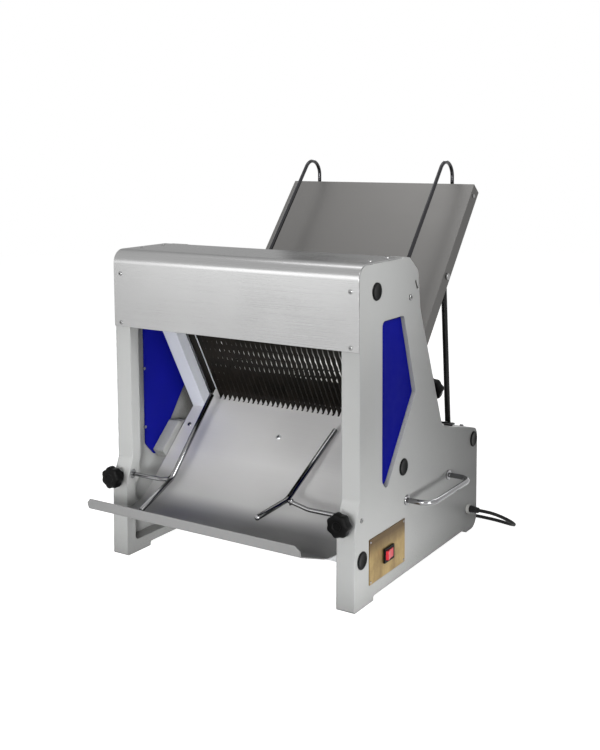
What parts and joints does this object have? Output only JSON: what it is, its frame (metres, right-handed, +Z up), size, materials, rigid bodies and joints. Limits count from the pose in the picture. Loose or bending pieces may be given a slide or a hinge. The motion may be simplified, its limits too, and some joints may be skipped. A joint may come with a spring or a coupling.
{
  "type": "bread slicer",
  "caption": "Table-top bread slicer: two hollow side castings, sloping infeed tray, reciprocating blade frames between combs, curved outfeed tray, closed drive box at the rear.",
  "frame": {"origin": "on the floor under the middle of the machine's bounding box, the cord left out", "axes": "+X to the switch side, +Y from the outfeed tray to the infeed tray, +Z up"},
  "size_m": [0.6953, 0.7839, 0.7694],
  "materials": {
    "cast_paint": "silver-grey gloss enamel over cast aluminium",
    "blue_paint": "deep blue enamel on sheet steel",
    "stainless": "satin stainless steel sheet",
    "blade_steel": "dark oiled spring steel",
    "machined_steel": "turned and ground steel",
    "galvanised": "zinc-plated steel",
    "chrome": "bright chrome plate",
    "dark_chrome": "dark polished rod",
    "black_paint": "semi-gloss black enamel",
    "black_plastic": "moulded black plastic",
    "white_paint": "white enamel",
    "motor_paint": "dark grey painted finned aluminium housing",
    "sheet_paint": "silver-grey enamel on sheet steel",
    "brass": "satin brass plate, bare",
    "red_plastic": "translucent red moulding",
    "grey_plastic": "light grey moulding",
    "rubber": "black rubber"
  },
  "bodies": {
    "machine": {"side_frame_right": "cast_paint", "side_frame_left": "cast_paint", "bearing_housing_right": "cast_paint", "bearing_housing_left": "cast_paint", "window_panel_right": "blue_paint", "window_panel_left": "blue_paint", "front_cover": "stainless", "rear_guard": "stainless", "infeed_tray": "stainless", "outfeed_tray": "stainless", "guide_rail_right": "white_paint", "guide_rail_left": "white_paint", "tie_bar_top": "galvanised", "tie_bar_tray": "galvanised", "tie_bar_trough": "galvanised", "tie_bar_rear": "galvanised", "motor_bracket": "galvanised", "base_plate": "galvanised", "cap_top_right": "black_plastic", "cap_top_left": "black_plastic", "cap_tray_right": "black_plastic", "cap_tray_left": "black_plastic", "cap_trough_right": "black_plastic", "cap_trough_left": "black_plastic", "cap_rear_right": "black_plastic", "cap_rear_left": "black_plastic", "drive_belt": "rubber", "cord_stretch": "rubber", "cord_coil": "rubber", "motor": "motor_paint", "rear_cover": "sheet_paint", "tray_strut_right": "black_paint", "tray_strut_left": "black_paint", "side_handle_right": "chrome", "side_handle_left": "chrome", "name_plate": "brass", "switch_bezel": "black_plastic", "cord_plug": "black_plastic", "cord_gland": "grey_plastic"},
    "crank": {"crankshaft": "machined_steel", "crank_pulley": "machined_steel"},
    "motor_rotor": {"motor_pulley": "machined_steel"},
    "front_blades": {"blade_frame_front": "blade_steel"},
    "rear_blades": {"blade_frame_rear": "blade_steel"},
    "switch_rocker": {"rocker": "red_plastic"},
    "front_rod_right": {"rod_front_right": "machined_steel"},
    "rear_rod_right": {"rod_rear_right": "machined_steel"},
    "infeed_arm_right": {"infeed_guide_right": "dark_chrome"},
    "bush_right": {"arm_bush_right": "machined_steel"},
    "outfeed_arm_right": {"outfeed_guide_right": "chrome"},
    "infeed_star_right": {"infeed_knob_right": "black_plastic"},
    "outfeed_star_right": {"outfeed_knob_right": "black_plastic"},
    "front_rod_left": {"rod_front_left": "machined_steel"},
    "rear_rod_left": {"rod_rear_left": "machined_steel"},
    "infeed_arm_left": {"infeed_guide_left": "dark_chrome"},
    "bush_left": {"arm_bush_left": "machined_steel"},
    "outfeed_arm_left": {"outfeed_guide_left": "chrome"},
    "infeed_star_left": {"infeed_knob_left": "black_plastic"},
    "outfeed_star_left": {"outfeed_knob_left": "black_plastic"}
  },
  "joints": [
    {"name": "front_blades_slide", "type": "slide", "parent": "machine", "child": "front_blades", "axis": [0, -0.4772, 0.8788], "range_m": [-0.0125, 0.0125]},
    {"name": "rear_blades_slide", "type": "slide", "parent": "machine", "child": "rear_blades", "axis": [0, -0.4772, 0.8788], "range_m": [-0.0125, 0.0125]},
    {"name": "crank_spin", "type": "hinge", "parent": "machine", "child": "crank", "pos_m": [0, 0.06737, 0.12959], "axis": [1, 0, 0], "continuous": true},
    {"name": "motor_spin", "type": "hinge", "parent": "machine", "child": "motor_rotor", "pos_m": [0.19, 0.1807, 0.112], "axis": [1, 0, 0], "continuous": true},
    {"name": "rocker_tilt", "type": "hinge", "parent": "machine", "child": "switch_rocker", "pos_m": [0.2765, -0.1303, 0.0695], "axis": [0, 0, 1], "range_deg": [-16, 0]},
    {"name": "front_rod_right_turn", "type": "hinge", "parent": "crank", "child": "front_rod_right", "pos_m": [0.15, 0.05638, 0.12363], "axis": [1, 0, 0], "continuous": true},
    {"name": "rear_rod_right_turn", "type": "hinge", "parent": "crank", "child": "rear_rod_right", "pos_m": [0.108, 0.07835, 0.13556], "axis": [1, 0, 0], "continuous": true},
    {"name": "infeed_slide_right", "type": "slide", "parent": "machine", "child": "infeed_arm_right", "axis": [1, 0, 0], "range_m": [-0.005, 0.007]},
    {"name": "outfeed_turn_right", "type": "hinge", "parent": "machine", "child": "bush_right", "pos_m": [0.253, -0.2313, 0.161], "axis": [1, 0, 0], "range_deg": [-5, 24]},
    {"name": "outfeed_slide_right", "type": "slide", "parent": "bush_right", "child": "outfeed_arm_right", "axis": [1, 0, 0], "range_m": [-0.01, 0.007]},
    {"name": "infeed_star_turn_right", "type": "hinge", "parent": "machine", "child": "infeed_star_right", "pos_m": [0.257, 0.0402, 0.3078], "axis": [0, 0.9287, 0.3708], "range_deg": [0, 360]},
    {"name": "outfeed_star_turn_right", "type": "hinge", "parent": "machine", "child": "outfeed_star_right", "pos_m": [0.257, -0.2313, 0.161], "axis": [0, -1, 0], "range_deg": [0, 360]},
    {"name": "front_rod_left_turn", "type": "hinge", "parent": "crank", "child": "front_rod_left", "pos_m": [-0.15, 0.05638, 0.12363], "axis": [1, 0, 0], "continuous": true},
    {"name": "rear_rod_left_turn", "type": "hinge", "parent": "crank", "child": "rear_rod_left", "pos_m": [-0.108, 0.07835, 0.13556], "axis": [1, 0, 0], "continuous": true},
    {"name": "infeed_slide_left", "type": "slide", "parent": "machine", "child": "infeed_arm_left", "axis": [-1, 0, 0], "range_m": [-0.005, 0.007]},
    {"name": "outfeed_turn_left", "type": "hinge", "parent": "machine", "child": "bush_left", "pos_m": [-0.253, -0.2313, 0.161], "axis": [1, 0, 0], "range_deg": [-24, 5]},
    {"name": "outfeed_slide_left", "type": "slide", "parent": "bush_left", "child": "outfeed_arm_left", "axis": [-1, 0, 0], "range_m": [-0.01, 0.007]},
    {"name": "infeed_star_turn_left", "type": "hinge", "parent": "machine", "child": "infeed_star_left", "pos_m": [-0.257, 0.0402, 0.3078], "axis": [0, 0.9287, 0.3708], "range_deg": [0, 360]},
    {"name": "outfeed_star_turn_left", "type": "hinge", "parent": "machine", "child": "outfeed_star_left", "pos_m": [-0.257, -0.2313, 0.161], "axis": [0, -1, 0], "range_deg": [0, 360]}
  ],
  "couplings": [
    {"joint": "rear_blades_slide", "follows": "front_blades_slide", "ratio": -1},
    {"joint": "motor_spin", "follows": "crank_spin", "ratio": 2.1556},
    {"joint": "front_rod_right_turn", "follows": "crank_spin", "ratio": -1},
    {"joint": "rear_rod_right_turn", "follows": "crank_spin", "ratio": -1},
    {"joint": "front_rod_left_turn", "follows": "crank_spin", "ratio": -1},
    {"joint": "rear_rod_left_turn", "follows": "crank_spin", "ratio": -1}
  ]
}
